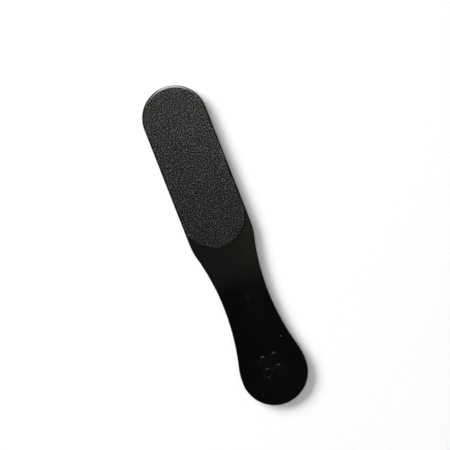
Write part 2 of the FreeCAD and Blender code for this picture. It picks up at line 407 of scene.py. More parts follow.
def ramp(tree, factor, stops):
    made = add(tree, "ShaderNodeValToRGB", {"Fac": factor})
    elements = made.color_ramp.elements
    while len(elements) < len(stops):
        elements.new(1.0)
    for element, (position, colour) in zip(elements, stops):
        element.position = position
        element.color = (*colour, 1.0)
    return made.outputs["Color"]


def two_tones(tree, factor, tones):
    """Goes from one tone to another over the middle of a noise."""
    return ramp(tree, factor, tuple(zip(NOISE_RANGE, tones)))


def bump(tree, height, strength, distance, under=None):
    inputs = {"Height": height, "Strength": strength, "Distance": distance}
    if under:
        inputs["Normal"] = under
    return add(tree, "ShaderNodeBump", inputs).outputs["Normal"]


def attribute(tree, name):
    return add(tree, "ShaderNodeAttribute", attribute_name=name).outputs["Fac"]


# Materials

def scratch_lines(tree, where):
    """Hairlines in a few directions, each direction in patches of its own: 1 on a line, 0 off it."""
    lines = 0.0
    for turn in SCRATCH_TURNS:
        streak = noise(tree, where, SCRATCH_WIDTH, detail=1, stretch=SCRATCH_STRETCH, turn=turn)
        patch = noise(tree, where, SCRATCH_PATCH + turn * MM, detail=1)
        streak = spread(tree, streak, SCRATCH_RANGE, (0, 1))
        patch = spread(tree, patch, SCRATCH_PATCH_RANGE, (0, 1))
        lines = math_node(tree, "MAXIMUM", math_node(tree, "MULTIPLY", streak, patch), lines)
    return lines


def plastic_material():
    """Black moulded plastic with a satin gloss, hand smudges, hairline scratches and dulled edges."""
    material, tree, shader = new_material("black_plastic")
    where = coordinates(tree)
    smudge = noise(tree, where, SMUDGE_SIZE, detail=3)
    scratches = scratch_lines(tree, where)
    edge = attribute(tree, "edge")
    dull = spread(tree, smudge, SMUDGE_RANGE, PLASTIC_ROUGHNESS)
    dull = math_node(tree, "ADD", dull, math_node(tree, "MULTIPLY", scratches, SCRATCH_DULLING))
    dull = math_node(tree, "ADD", dull, math_node(tree, "MULTIPLY", edge, EDGE_DULLING))
    tint = two_tones(tree, smudge, PLASTIC_TONES)
    tint = mix(tree, math_node(tree, "MULTIPLY", scratches, SCRATCH_PALING), tint, SCRATCH_TONE)
    tree.links.new(tint, shader.inputs["Base Color"])
    tree.links.new(dull, shader.inputs["Roughness"])
    skin = bump(tree, noise(tree, where, SKIN_SIZE), SKIN_STRENGTH, SKIN_DEPTH)
    skin = bump(tree, scratches, SCRATCH_STRENGTH, -SCRATCH_DEPTH, skin)
    tree.links.new(skin, shader.inputs["Normal"])
    shader.inputs["IOR"].default_value = PLASTIC_IOR
    return material


def grit_material(name, dark, bright, tip_painted_light, heel_painted_light):
    """Black mineral grains in dark resin: a tone for each facet, some of them glassy, and painted light that
    makes the colour lighter towards the tip.
    """
    material, tree, shader = new_material(name)
    where = coordinates(tree)
    shine = attribute(tree, "shine")
    colour = ramp(tree, attribute(tree, "tone"), ((0.0, dark), (1.0, bright)))
    # Painted light falloff: the colour is scaled lighter towards the tip and darker towards the heel along a
    # slant, then by a random mottle
    along = add(tree, "ShaderNodeVectorMath", {0: where, 1: PAINTED_LIGHT_DIRECTION}, operation="DOT_PRODUCT")
    low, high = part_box("front_grit")
    share = spread(tree, along.outputs["Value"], (low.y, high.y), (0, 1))
    share = math_node(tree, "POWER", share, PAINTED_LIGHT_CURVE)
    wear_and_painted_light = spread(tree, share, (0, 1), (heel_painted_light, tip_painted_light))
    mottle = spread(tree, noise(tree, where, MOTTLE_SIZE, detail=3), NOISE_RANGE, MOTTLE_TONES)
    wear_and_painted_light = math_node(tree, "MULTIPLY", wear_and_painted_light, mottle)
    worn_and_painted_light = add(tree, "ShaderNodeVectorMath", {0: colour, "Scale": wear_and_painted_light}, operation="SCALE")
    tree.links.new(worn_and_painted_light.outputs[0], shader.inputs["Base Color"])
    tree.links.new(spread(tree, shine, (0, 1), GRIT_ROUGHNESS), shader.inputs["Roughness"])
    tree.links.new(spread(tree, shine, GLASSY_RANGE, GRIT_SPECULAR), shader.inputs["Specular IOR Level"])
    fracture = noise(tree, where, FRACTURE_SIZE)
    tree.links.new(bump(tree, fracture, FRACTURE_STRENGTH, FRACTURE_DEPTH), shader.inputs["Normal"])
    return material


def paper_material():
    """Black treated backing paper, brown where the coat is lost from it and pale where it is torn; its black
    bared round a pad's foot is a painted shadow line, and its pale on the front pad's right edge is painted
    highlights.
    """
    material, tree, shader = new_material("backing_paper")
    where = coordinates(tree)
    torn_and_highlit_share = attribute(tree, "torn_and_highlit")
    fibres = noise(tree, where, FIBRE_SIZE, detail=3, stretch=FIBRE_STRETCH, turn=FIBRE_TURN)
    whole = two_tones(tree, fibres, PAPER_TONES)
    # The pale torn tone is torn paper, and also painted highlights at the front pad's right-edge chips
    torn_and_highlit = ramp(tree, torn_and_highlit_share, TORN_AND_HIGHLIGHT_STOPS)
    lifted = spread(tree, fibres, TORN_FIBRE_RANGE, (0, TORN_FIBRE_SHARE))
    torn_and_highlit = mix(tree, lifted, torn_and_highlit, TORN_FIBRE_TONE, "MULTIPLY")
    bare = spread(tree, torn_and_highlit_share, TORN_AND_HIGHLIGHT_RANGE, (0, 1))
    tree.links.new(mix(tree, bare, whole, torn_and_highlit), shader.inputs["Base Color"])
    cloud = noise(tree, where, CLOUD_SIZE)
    tree.links.new(spread(tree, cloud, NOISE_RANGE, PAPER_ROUGHNESS), shader.inputs["Roughness"])
    tree.links.new(bump(tree, fibres, FIBRE_STRENGTH, FIBRE_DEPTH), shader.inputs["Normal"])
    shader.inputs["Specular IOR Level"].default_value = PAPER_SPECULAR
    return material


def adhesive_material():
    """Pressure-sensitive film, amber, with small trapped bubbles."""
    material, tree, shader = new_material("adhesive_film")
    where = coordinates(tree)
    bubbles = add(tree, "ShaderNodeTexVoronoi", {"Vector": where, "Scale": 1 / BUBBLE_SPACING})
    bubble = spread(tree, bubbles.outputs["Distance"], BUBBLE_RANGE, (1, 0))
    streaks = noise(tree, where, FILM_STREAK, detail=3, stretch=FILM_STRETCH, turn=FILM_TURN)
    colour = two_tones(tree, streaks, FILM_TONES)
    tree.links.new(mix(tree, bubble, colour, BUBBLE_TONE), shader.inputs["Base Color"])
    tree.links.new(spread(tree, streaks, NOISE_RANGE, FILM_ROUGHNESS), shader.inputs["Roughness"])
    tree.links.new(bump(tree, bubble, BUBBLE_STRENGTH, BUBBLE_DEPTH), shader.inputs["Normal"])
    return material


def floor_material():
    """Matt white studio paper with a faint tooth, lit up further off so that it has no dark horizon."""
    material, tree, shader = new_material("studio_paper")
    where = coordinates(tree)
    tooth = noise(tree, where, FLOOR_TOOTH, detail=3)
    tree.links.new(two_tones(tree, tooth, FLOOR_TONES), shader.inputs["Base Color"])
    away = add(tree, "ShaderNodeVectorMath", {0: where}, operation="LENGTH").outputs["Value"]
    glow = spread(tree, away, FLOOR_GLOW_REACH, (0, FLOOR_GLOW), smooth=True)
    tree.links.new(glow, shader.inputs["Emission Strength"])
    shader.inputs["Emission Color"].default_value = (*WHITE, 1)
    shader.inputs["Roughness"].default_value = FLOOR_ROUGHNESS
    shader.inputs["Specular IOR Level"].default_value = FLOOR_SPECULAR
    return material


# Geometry helpers

class Shell:
    """A mesh in the making: its vertices, how worn each of them is, and its faces."""

    def __init__(self):
        self.vertices = []
        self.wear_and_painted_light = []
        self.faces = []

    def loop(self, points, z, wear_and_painted_light):
        """Adds points of the plane at one height, with a wear for all or for each; gives their numbers."""
        start = len(self.vertices)
        self.vertices += np.column_stack([points, np.full(len(points), z)]).tolist()
        self.wear_and_painted_light += np.broadcast_to(wear_and_painted_light, len(points)).tolist()
        return list(range(start, len(self.vertices)))

    def band(self, first, second):
        """Joins two loops of as many vertices by a band of quads."""
        for i in range(len(first)):
            self.faces.append((first[i - 1], first[i], second[i], second[i - 1]))

    def bands(self, loops):
        for first, second in zip(loops, loops[1:]):
            self.band(first, second)


def make_piece(name, vertices, faces, material, replaced, smooth):
    """Makes a mesh piece that rides on the body and stands for one node of the frame."""
    mesh = bpy.data.meshes.new(name)
    mesh.from_pydata(vertices, [], faces)
    mesh.validate()
    mesh.update()
    mesh.polygons.foreach_set("use_smooth", np.full(len(mesh.polygons), smooth))
    mesh.materials.append(material)
    piece = bpy.data.objects.new(name, mesh)
    bpy.context.scene.collection.objects.link(piece)
    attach(piece, "root")
    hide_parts(replaced)
    return piece


def set_attribute(piece, name, values, domain="POINT"):
    made = piece.data.attributes.new(name, "FLOAT", domain)
    made.data.foreach_set("value", np.asarray(values, np.float32))


def turn_outwards(piece):
    """Points all the faces of a closed mesh outwards."""
    work = bmesh.new()
    work.from_mesh(piece.data)
    bmesh.ops.recalc_face_normals(work, faces=work.faces)
    work.to_mesh(piece.data)
    work.free()


def vary(shares, value):
    """A least share and a change to it that follows a value from 0 to 1."""
    least, change = shares
    return least + change * value


def inside(points, loop):
    """Which points lie inside a closed loop."""
    x, y = points[:, 0, None], points[:, 1, None]
    ahead = np.roll(loop, -1, axis=0)
    rise = ahead[:, 1] - loop[:, 1]
    crosses = (loop[:, 1] > y) != (ahead[:, 1] > y)
    slope = (ahead[:, 0] - loop[:, 0]) / np.where(rise == 0, 1, rise)
    left = x < loop[:, 0] + (y - loop[:, 1]) * slope
    return (crosses & left).sum(1) % 2 == 1


def delaunay(points, edges=()):
    """Delaunay triangles over points in the plane that keep the given edges."""
    whole_hull, merge_distance = 0, 1e-9
    places = [Vector(p) for p in points]
    made = delaunay_2d_cdt(places, list(edges), [], whole_hull, merge_distance, True)
    triangles, origins = made[2:4]
    first = np.array([origin[0] for origin in origins])
    return first[np.array(triangles)]


def triangulate(points, rim, holes=()):
    """Triangles over points in the plane, inside a rim and outside holes, both lists of point numbers."""
    points = np.asarray(points)
    edges = [(loop[i - 1], loop[i]) for loop in (rim, *holes) for i in range(len(loop))]
    faces = delaunay(points, edges)
    on_loop = np.zeros(len(points), bool)
    for loop in (rim, *holes):
        on_loop[loop] = True
    keep = np.ones(len(faces), bool)
    tested = np.nonzero(on_loop[faces].all(1))[0]
    centres = points[faces[tested]].mean(1)
    keep[tested] = inside(centres, points[rim])
    for hole in holes:
        keep[tested] &= ~inside(centres, points[hole])
    return faces[keep].tolist()


def round_corner(radius, steps):
    """Steps round a quarter circle from its foot: how far in, and how far up, as arrays."""
    angle = np.linspace(0, math.pi / 2, steps + 1)
    return radius * (1 - np.cos(angle)), radius * np.sin(angle)


# The moulded body

def arc_run(centre, radius, start, end, side=1):
    """Points and outward directions along an arc; side is -1 where the body lies outside the arc."""
    count = max(2, round(abs(end - start) * radius / OUTLINE_STEP))
    angles = np.linspace(start, end, count, endpoint=False)
    rays = np.stack([np.cos(angles), np.sin(angles)], 1)
    return np.asarray(centre) + radius * rays, side * rays


def s_curve(run, inset, convex_radius):
    """The turn and the concave radius of two arcs that meet in a smooth S over a run and an inset."""
    turn = 2 * math.atan2(inset, run)
    return turn, run / math.sin(turn) - convex_radius


def body_outline():
    """The body's outline as points and outward directions, clockwise from the tip of the head."""
    neck_turn, neck_radius = s_curve(NECK_LENGTH, WAIST_INSET, SHOULDER_RADIUS)
    flare_turn, flare_radius = s_curve(FLARE_LENGTH, BULB_FLARE, CREST_RADIUS)
    side_y = np.linspace(HEAD_Y, SHOULDER_Y, round(HEAD_STRAIGHT / OUTLINE_STEP), endpoint=False)
    side = np.stack([np.full_like(side_y, HEAD_RADIUS), side_y], 1)
    pi = math.pi
    runs = [
        arc_run((0, HEAD_Y), HEAD_RADIUS, pi / 2, 0),
        (side, np.tile((1.0, 0.0), (len(side), 1))),
        arc_run((HEAD_RADIUS - SHOULDER_RADIUS, SHOULDER_Y), SHOULDER_RADIUS, 0, -neck_turn),
        arc_run((WAIST_HALF + neck_radius, WAIST_Y), neck_radius, pi - neck_turn, pi, -1),
        arc_run((WAIST_HALF + flare_radius, WAIST_Y), flare_radius, pi, pi + flare_turn, -1),
        arc_run((BULB_RADIUS - CREST_RADIUS, BULB_Y), CREST_RADIUS, flare_turn, 0),
        arc_run((0, BULB_Y), BULB_RADIUS, 0, -pi / 2),
    ]
    right = np.concatenate([points for points, _ in runs])
    right_out = np.concatenate([out for _, out in runs])
    flip = np.array((-1.0, 1.0))
    end = np.array([(0.0, BULB_Y - BULB_RADIUS)])
    points = np.concatenate([right, end, right[:0:-1] * flip])
    outward = np.concatenate([right_out, [(0.0, -1.0)], right_out[:0:-1] * flip])
    return points + SIDE_SWELL * outward * outward[:, :1] ** 2, outward


def body_section():
    """The body's edge from its back face to its front one: how far in, how high and how worn."""
    inward, upward = round_corner(EDGE_ROUND, EDGE_STEPS)
    ridge = [
        (0.0, MIDDLE_Z - PARTING_HEIGHT / 2),
        (-PARTING_RIDGE, MIDDLE_Z - PARTING_HEIGHT / 4),
        (-PARTING_RIDGE, MIDDLE_Z + PARTING_HEIGHT / 4),
        (0.0, MIDDLE_Z + PARTING_HEIGHT / 2),
    ]
    low = zip(inward[::-1], BACK_Z + EDGE_ROUND - upward[::-1])
    high = zip(inward, FACE_Z - EDGE_ROUND + upward)
    worn_and_painted_light = [(inset, z, EDGE_WEAR if inset > 0 else SIDE_WEAR) for inset, z in (*low, *ridge, *high)]
    flat_inset = EDGE_ROUND + EDGE_MARGIN
    return [(flat_inset, BACK_Z, 0.0), *worn_and_painted_light, (flat_inset, FACE_Z, 0.0)]


def mound(radius, height):
    """The profile of a low mound; its narrow flat margin keeps its shading off the face round it."""
    margin = (MOUND_MARGIN_SHARE * radius, 0.0)
    return [margin] + [(radius * share, height * (1 - share * share)) for share in MOUND_SHARES]


def body_marks():
    """Marks on the front face: centre, stretch along Y, its turn, wear, and a profile of radius and height."""
    inward, upward = round_corner(PIP_ROUND, PIP_STEPS)
    pip = [(PIP_RADIUS, 0.0)]
    pip += [(PIP_RADIUS - i, PIP_HEIGHT - PIP_ROUND + u) for i, u in zip(inward, upward)]
    pip += [(0.0, PIP_HEIGHT)]
    rows = (BULB_Y + PIP_RISE + PIP_PITCH[1] / 2, BULB_Y + PIP_RISE - PIP_PITCH[1] / 2)
    marks = [((side * PIP_PITCH[0] / 2, row), 1.0, 0.0, PIP_WEAR, pip) for row in rows for side in (-1, 1)]
    gate = [
        (GATE_RADIUS + GATE_LIP, 0.0),
        (GATE_RADIUS, -GATE_LIP),
        (GATE_RADIUS, -GATE_DEPTH),
        (GATE_STUB, -GATE_DEPTH),
        (GATE_STUB, -GATE_CROWN),
    ]
    gate += [(across * GATE_STUB, -deep * GATE_CROWN) for across, deep in GATE_CROWN_SHARES]
    gate += [(0.0, 0.0)]
    marks.append(((GATE_PLACE[0], WAIST_Y + GATE_PLACE[1]), 1.0, 0.0, GATE_WEAR, gate))
    speck = mound(SPECK_RADIUS, SPECK_HEIGHT)
    marks.append((SPECK_PLACE, SPECK_STRETCH, SPECK_TURN, SPECK_WEAR, speck))
    tick = mound(TICK_RADIUS, TICK_HEIGHT)
    marks.append((TICK_PLACE, TICK_STRETCH, 0.0, TICK_WEAR, tick))
    return marks


def lay_mark(shell, centre, stretch, turn, wear_and_painted_light, profile):
    """Lays a mark on the front face, and gives its outer loop, its centre and its reach."""
    around = np.linspace(0, 2 * math.pi, MARK_SIDES, endpoint=False)
    rays = np.stack([np.cos(around), np.sin(around)], 1)
    spin = np.array(((math.cos(turn), math.sin(turn)), (-math.sin(turn), math.cos(turn))))
    drawn = (rays * (1.0, stretch)) @ spin
    centre = np.asarray(centre)
    loops = [shell.loop(centre + radius * drawn, FACE_Z + height, wear_and_painted_light) for radius, height in profile[:-1]]
    shell.bands(loops)
    top = shell.loop(centre[None], FACE_Z + profile[-1][1], MARK_CENTRE_WEAR)[0]
    last = loops[-1]
    shell.faces += [(last[i - 1], last[i], top) for i in range(MARK_SIDES)]
    return loops[0], centre, profile[0][0] * max(1.0, stretch)


def fill_face(shell, rim, z, marks):
    """Fills a face from its rim, round the marks laid on it, with a spread of points between them."""
    rim_points = np.array([shell.vertices[v][:2] for v in rim])
    xs = np.arange(BODY_LOW.x, BODY_HIGH.x, FACE_STEP)
    ys = np.arange(BODY_LOW.y, BODY_HIGH.y, FACE_STEP)
    grid = np.stack(np.meshgrid(xs, ys), -1).reshape(-1, 2)
    grid[:, 0] += FACE_STEP / 2 * (np.round(grid[:, 1] / FACE_STEP) % 2)
    gap = np.linalg.norm(grid[:, None] - rim_points[None], axis=2)
    keep = inside(grid, rim_points) & (gap.min(1) > FACE_STEP / 2)
    for _, centre, reach in marks:
        keep &= np.linalg.norm(grid - centre, axis=1) > reach + FACE_STEP / 3
    loops = [rim] + [loop for loop, _, _ in marks]
    inner = shell.loop(grid[keep], z, 0.0)
    numbers = [v for loop in (*loops, inner) for v in loop]
    flat = [shell.vertices[v][:2] for v in numbers]
    place = {v: n for n, v in enumerate(numbers)}
    outer, *holes = [[place[v] for v in loop] for loop in loops]
    shell.faces += [tuple(numbers[v] for v in face) for face in triangulate(flat, outer, holes)]


def surface_wave(x, y):
    """The unevenness of a moulded face, between -1 and 1."""
    return sum(np.sin(a * x + b * y + phase) for a, b, phase in FACE_WAVES) / len(FACE_WAVES)


def make_body(material):
    """The one-piece moulding: its edge, the marks on its front face, and its two faces."""
    points, outward = body_outline()
    slope = outward * (1 + TIP_EASE * np.clip(outward[:, 1:], 0, 1) ** 2)
    shell = Shell()
    rings = [shell.loop(points - slope * inset, z, wear_and_painted_light) for inset, z, wear_and_painted_light in body_section()]
    shell.bands(rings)
    marks = [lay_mark(shell, *mark) for mark in body_marks()]
    fill_face(shell, rings[-1], FACE_Z, marks)
    fill_face(shell, rings[0], BACK_Z, [])

    places = np.array(shell.vertices)
    lift = np.where(places[:, 2] > MIDDLE_Z, 1.0, -1.0) * FACE_WAVE
    away = np.clip(np.abs(places[:, 2] - MIDDLE_Z) / (FACE_Z - MIDDLE_Z), 0, 1) ** 2
    places[:, 2] += lift * away * (surface_wave(places[:, 0], places[:, 1]) - 1)
    vertices = places.tolist()
    piece = make_piece("moulded_body", vertices, shell.faces, material, "file_body", True)
    set_attribute(piece, "edge", shell.wear_and_painted_light)
    turn_outwards(piece)
    piece.data.set_sharp_from_angle(angle=SHARP_ANGLE)


# The abrasive pads

def stadium(box, step):
    """A box's round-ended outline, anticlockwise from its right side's foot: points and outward directions."""
    low, high = box
    radius = high.x
    bottom, top = low.y + radius, high.y - radius
    straight = top - bottom
    perimeter = 2 * straight + 2 * math.pi * radius
    count = round(perimeter / step)
    way = np.arange(count) * perimeter / count
    half = straight + math.pi * radius
    turn = np.clip((way % half) - straight, 0, None) / radius
    run = np.minimum(way % half, straight)
    flip = np.where(way < half, 1.0, -1.0)
    outward = np.stack([flip * np.cos(turn), flip * np.sin(turn)], 1)
    centre_y = np.where(flip > 0, bottom + run, top - run)
    points = np.stack([np.zeros(count), centre_y], 1) + radius * outward
    return points, outward


def loop_noise(rng, count, run):
    """A random value between 0 and 1 along a closed loop, with a knot at each run of points."""
    knots = count // run
    values = rng.random(knots)
    return np.interp(np.arange(count) * knots / count, np.arange(knots + 1), np.append(values, values[0]))


def chip_depth(points, chips, rng):
    """How far the coat has chipped back at each point of an edge, with ragged ends."""
    depth = np.zeros(len(points))
    for x, y, width, deep, *_ in chips:
        away = np.hypot(points[:, 0] - x, points[:, 1] - y) / width
        ragged = vary(CHIP_SHARES, rng.random(len(points)))
        depth = np.maximum(depth, deep * np.clip(CHIP_FLAT - away ** 2, 0, 1) * ragged)
    return depth


def coat_edge(rng, box, chips):
    """Points along a pad's outline, how far its coat stops short of each, and the coat's own rim there."""
    points, outward = stadium(box, COAT_EDGE_STEP)
    count = len(points)
    toward = np.degrees(np.arctan2(outward[:, 1], outward[:, 0]))
    # Round the pad's foot the coat stops short, and the near-black paper it bares is a painted shadow line
    shadow_ledge = np.interp(toward, *np.transpose(FOOT_SHADOW_LEDGE), left=0, right=0) * MM
    inset = COAT_RAGGED * loop_noise(rng, count, COAT_RUN) + chip_depth(points, chips, rng)
    inset = np.maximum(inset, shadow_ledge * vary(LEDGE_SHARES, loop_noise(rng, count, LEDGE_RUN)))
    inset -= SIDE_OUTSET * outward[:, 0] ** 2
    return points, inset, points - outward * inset[:, None]


def jittered(rng, box, spacing, jitter, thinning):
    """Points on a loose triangular lattice over a box, with some left out."""
    low, high = box
    xs = np.arange(low.x - spacing, high.x + spacing, spacing)
    ys = np.arange(low.y - spacing, high.y + spacing, spacing * math.sqrt(3) / 2)
    grid = np.stack(np.meshgrid(xs, ys), -1)
    grid[::2, :, 0] += spacing / 2
    grid = grid.reshape(-1, 2)
    grid += rng.uniform(-jitter, jitter, grid.shape) * spacing
    return grid[rng.random(len(grid)) >= thinning]


def clear_of_edge(points, box, margin, edge_points, edge_inset):
    """Which points lie inside a pad and clear of its ragged edge."""
    low, high = box
    spine = np.clip(points[:, 1], low.y + high.x, high.y - high.x)
    depth = high.x - np.hypot(points[:, 0], points[:, 1] - spine)
    keep = depth > margin - SIDE_OUTSET
    near = np.nonzero(keep & (depth < EDGE_ZONE))[0]
    gap = np.linalg.norm(points[near][:, None] - edge_points[None], axis=2)
    keep[near] = depth[near] > edge_inset[gap.argmin(1)] + margin
    return keep


def set_apart(values, cells):
    """Evens out a random value over neighbours, so that light and dark lie side by side: 0 to 1 by rank."""
    for _ in range(APART_PASSES):
        total, count = np.zeros(len(values)), np.zeros(len(values))
        for a, b in ((0, 1), (1, 2), (2, 0), (1, 0), (2, 1), (0, 2)):
            np.add.at(total, cells[:, a], values[cells[:, b]])
            np.add.at(count, cells[:, a], 1)
        values = values - total / np.maximum(count, 1)
    return values.argsort().argsort() / (len(values) - 1)


def even_out(values, points, weights, cell, share):
    """Brings the average of a value round each point nearer to its average over all, by the given share."""
    place = tuple((np.floor((points - points.min(0)) / cell).astype(int) + 1).T)
    shape = [p.max() + 2 for p in place]
    total, weight = np.zeros(shape), np.zeros(shape)
    np.add.at(total, place, (values - np.average(values, weights=weights)) * weights)
    np.add.at(weight, place, weights)
    steps = [(i, j) for i in (-1, 0, 1) for j in (-1, 0, 1)]
    total = sum(np.roll(total, step, (0, 1)) for step in steps)
    weight = sum(np.roll(weight, step, (0, 1)) for step in steps)
    no_weight = 1e-12
    return values - share * (total / np.maximum(weight, no_weight))[place]


def nearest(points, places):
    """The number of the nearest place to each point."""
    tree = KDTree(len(places))
    for number, (x, y) in enumerate(places):
        tree.insert((x, y, 0), number)
    tree.balance()
    return np.array([tree.find((x, y, 0))[1] for x, y in points])


def scatter_grains(rng, box, spacing, clump, edge_points, inset):
    """The grains' centres, a tone from 0 to 1 for each of them, and which of them are lost.

    They gather in clumps that are lighter or darker than the clumps beside them.
    """
    clumps = jittered(rng, box, clump, CLUMP_JITTER, 0.0)
    clump_tone = set_apart(rng.normal(size=len(clumps)), delaunay(clumps))
    clump_tone = np.clip(0.5 + CLUMP_CONTRAST * (clump_tone - 0.5), 0, 1)
    centres = jittered(rng, box, spacing, GRAIN_JITTER, GRAIN_THINNING)
    centres = centres[clear_of_edge(centres, box, GRAIN_CLEARANCE * spacing, edge_points, inset)]
    member = nearest(centres, clumps)
    lost = (rng.random(len(clumps)) < PIT_SHARE)[member]
    own_tone = rng.normal(0, GRAIN_TONE_SPREAD, len(centres))
    return centres, np.clip(clump_tone[member] + own_tone, 0, 1) * ~lost, lost


def lay_valleys(rng, centres, grain_tone, spacing):
    """Low places in the resin between the grains, and the mean tone of the grains round each."""
    cells = delaunay(centres)
    corners = centres[cells]
    span = np.linalg.norm(corners - np.roll(corners, 1, axis=1), axis=2).max(1)
    kept = span < CELL_SPAN * spacing
    valleys = corners[kept].mean(1) + rng.normal(0, VALLEY_JITTER * spacing, (kept.sum(), 2))
    return valleys, grain_tone[cells[kept]].mean(1)


def raise_tips(rng, centres, spacing):
    """One or two tips on each grain: where they stand, and the number of the grain that each belongs to."""
    grains = len(centres)
    tips = rng.integers(1, 3, grains)
    grain = np.repeat(np.arange(grains), tips)
    side = np.where(np.append([False], grain[1:] == grain[:-1]), math.pi, 0.0)
    angle = rng.uniform(0, 2 * math.pi, grains)[grain] + side + rng.normal(0, TIP_TURN_SPREAD, len(grain))
    reach = spacing * rng.uniform(*TIP_REACH, len(grain)) * np.where(tips[grain] > 1, 1, SINGLE_TIP_REACH)
    return centres[grain] + reach[:, None] * np.stack([np.cos(angle), np.sin(angle)], 1), grain


def facet_looks(rng, top, shards, owner, grain_tone, lost):
    """The tone and the shine of a coat's facets; a point's owner is its grain, or -1 in the resin."""
    facet_owner = owner[shards].max(1)
    on_grain = facet_owner >= 0
    tone = np.where(on_grain, grain_tone[facet_owner], RESIN_TONE)
    tone = np.clip(tone + rng.normal(0, FACET_TONE_SPREAD, len(tone)), 0, 1) ** TONE_CURVE
    one, two = (top[shards[:, n]] - top[shards[:, 0]] for n in (1, 2))
    spans = np.abs(one[:, 0] * two[:, 1] - one[:, 1] * two[:, 0])
    middles = top[shards].mean(1)
    for _ in range(EVEN_PASSES):
        tone = np.clip(even_out(tone, middles, spans, EVEN_CELL, EVEN_SHARE), 0, 1)
    tone *= ~(on_grain & lost[facet_owner])
    shine = rng.random(len(grain_tone))[facet_owner] ** SHINE_CURVE
    return tone, np.where(on_grain, shine, RESIN_SHINE)


def set_bake_map(piece, box, top_faces, rim_faces):
    """Lays a coat's top, its rim unrolled and its base side by side on the map its looks are baked through.

    The top is made of triangles, the rim of quads, and the base is the rest.
    """
    mesh = piece.data
    low, high = box
    corner = np.empty(len(mesh.loops), np.int32)
    mesh.loops.foreach_get("vertex_index", corner)
    places = np.empty(3 * len(mesh.vertices))
    mesh.vertices.foreach_get("co", places)
    places = places.reshape(-1, 3)[corner, :2]
    spot = (places - (low.x, low.y)) / (high.x - low.x, high.y - low.y)
    rim_start = 3 * top_faces
    base_start = rim_start + 4 * rim_faces
    way = np.arange(rim_faces)
    spot[:rim_start, 0] *= BAKE_TOP_SHARE
    spot[rim_start:base_start, 0] = np.tile(np.repeat(BAKE_RIM, 2), rim_faces)
    spot[rim_start:base_start, 1] = np.column_stack([way, way + 1, way + 1, way]).ravel() / rim_faces
    spot[base_start:, 0] = BAKE_BASE[0] + (BAKE_BASE[1] - BAKE_BASE[0]) * spot[base_start:, 0]
    layer = mesh.uv_layers.new(name=BAKE_MAP)
    layer.uv.foreach_set("vector", spot.ravel())


def make_coat(name, node, slot, material, seed, spacing, clump, resin_share, chips):
    """An abrasive coat: faceted grains in resin, lighter ones taller, closed by a rim and a flat base.

    The free side is the one away from the body. Heights are shares of the coat's own thickness.
    """
    rng = np.random.default_rng(seed)
    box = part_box(node)
    low, high = box
    edge_points, inset, rim = coat_edge(rng, box, chips)
    count = len(rim)
    centres, grain_tone, lost = scatter_grains(rng, box, spacing, clump, edge_points, inset)
    valleys, valley_tone = lay_valleys(rng, centres, grain_tone, spacing)
    peaks, grain = raise_tips(rng, centres, spacing)

    own_size = rng.beta(*GRAIN_SIZE_CURVE, len(centres))
    size = GRAIN_SIZE_OWN * own_size + GRAIN_SIZE_FROM_TONE * grain_tone
    trim = rng.uniform(*TIP_TRIM, len(grain))
    height = resin_share + (1 - resin_share) * vary(TIP_SHARES, size[grain]) * trim
    floor = resin_share * rng.uniform(*VALLEY_TRIM, len(valleys)) * vary(VALLEY_SHARES, valley_tone)
    shelf = RIM_SHARE * rng.uniform(*RIM_TRIM, count)
    top = np.concatenate([rim, peaks, valleys])
    rise = (high.z - low.z) * np.concatenate([shelf, height, floor])
    faces_up = low.z > FACE_Z
    base_z = low.z if faces_up else high.z
    z = base_z + rise if faces_up else base_z - rise
    base = np.column_stack([rim, np.full(count, base_z)])
    places = np.concatenate([np.column_stack([top, z]), base])

    shards = np.array(triangulate(top, list(range(count))))
    owner = np.concatenate([np.full(count, -1), grain, np.full(len(valleys), -1)])
    tone, shine = facet_looks(rng, top, shards, owner, grain_tone, lost)
    under = len(top)
    ring = np.arange(count)
    after = np.roll(ring, -1)
    sides = list(zip(ring, after, under + after, under + ring))
    faces = shards.tolist() + sides + [tuple(under + ring[::-1])]
    piece = make_piece(name, places.tolist(), faces, material, node, False)
    closing = np.full(count + 1, CLOSING_LOOK)
    set_attribute(piece, "tone", np.concatenate([tone, closing]), "FACE")
    set_attribute(piece, "shine", np.concatenate([shine, closing]), "FACE")
    set_bake_map(piece, box, len(shards), count)
    turn_outwards(piece)


def make_backing(name, node, material, seed, chips):
    """A die-cut paper sheet: a slightly furry cut edge, and bare places under the chips in the coat, pale
    where torn and pale as painted highlights on the front pad's right edge.
    """
    rng = np.random.default_rng(seed)
    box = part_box(node)
    low, high = box
    points, outward = stadium(box, PAPER_EDGE_STEP)
    points += SIDE_OUTSET * outward * outward[:, :1] ** 2
    count = len(points)
    bare = np.zeros((2, count))
    for x, y, width, _, *pale in chips:
        close = np.hypot(points[:, 0] - x, points[:, 1] - y) < BARE_REACH * width
        blotch = close * vary(BARE_SHARES, loop_noise(rng, count, BARE_RUN))
        bare = np.maximum(bare, np.outer(pale, blotch))
    at_edge, further_in = bare

    shell = Shell()
    rings = []
    for share in PAPER_LEVEL_SHARES:
        ragged = PAPER_RAGGED * (loop_noise(rng, count, PAPER_RUN) - PAPER_MIDDLE)
        level = low.z + share * (high.z - low.z)
        rings.append(shell.loop(points + outward * ragged[:, None], level, at_edge))
    shell.bands(rings)
    for outer, z in ((rings[0], low.z), (rings[-1], high.z)):
        inner = shell.loop(points - outward * BARE_DEPTH, z, further_in)
        shell.band(outer, inner)
        shell.faces.append(tuple(inner))
    piece = make_piece(name, shell.vertices, shell.faces, material, node, False)
    set_attribute(piece, "torn_and_highlit", shell.wear_and_painted_light)
    turn_outwards(piece)


# Camera, floor and light

def plan_axes():
    """The directions of the picture's right and top in the plane of the floor."""
    right = Vector((math.cos(CAMERA_ROLL), math.sin(CAMERA_ROLL), 0))
    return right, Vector((-right.y, right.x, 0))


